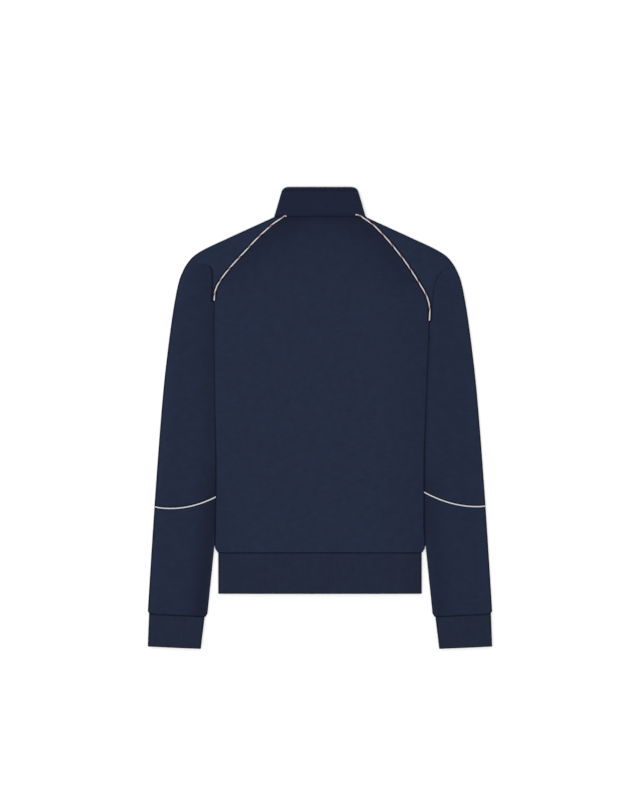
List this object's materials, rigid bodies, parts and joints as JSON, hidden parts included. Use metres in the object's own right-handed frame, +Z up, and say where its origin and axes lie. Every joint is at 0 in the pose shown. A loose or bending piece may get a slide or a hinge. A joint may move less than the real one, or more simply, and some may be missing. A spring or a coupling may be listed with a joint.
{
  "type": "track jacket",
  "caption": "Zip-up raglan track jacket laid flat on its front, with a stand collar, ribbed hem and cuffs, and piped raglan and forearm seams.",
  "frame": {"origin": "on the surface the jacket lies on, under the centre of its outline", "axes": "+X to the wearer's right, which is on the right as the back is seen from above; +Y from hem to collar; +Z up, out of the jacket's back"},
  "size_m": [0.6036, 0.809, 0.0101],
  "materials": {
    "jersey": "matte navy double-knit jersey",
    "rib": "matte navy fine rib knit",
    "collar_jersey": "matte navy double-knit jersey, two layers",
    "raglan_piping": "white cord with a red and a navy thread wound round it",
    "forearm_piping": "off-white cotton cord",
    "zip_tape": "navy woven tape",
    "zip_teeth": "navy moulded plastic",
    "zip_metal": "satin nickel plate"
  },
  "bodies": {
    "jacket": {"back_panel": "jersey", "front_panel_left": "jersey", "front_panel_right": "jersey", "sleeve_upper_left": "jersey", "sleeve_upper_right": "jersey", "sleeve_lower_left": "jersey", "sleeve_lower_right": "jersey", "cuff_left": "rib", "cuff_right": "rib", "hem_band": "rib", "collar": "collar_jersey", "raglan_piping_left": "raglan_piping", "raglan_piping_right": "raglan_piping", "forearm_piping_left": "forearm_piping", "forearm_piping_right": "forearm_piping", "zip_tape_left": "zip_tape", "zip_tape_right": "zip_tape", "zip_teeth": "zip_teeth", "zip_box": "zip_teeth", "zip_slider": "zip_metal"},
    "zip_pull": {"zip_pull": "zip_metal"}
  },
  "joints": [
    {"name": "zip_pull_hinge", "type": "hinge", "parent": "jacket", "child": "zip_pull", "pos_m": [0, 0.3414, 0.00125], "axis": [1, 0, 0], "range_deg": [0, 160]}
  ]
}
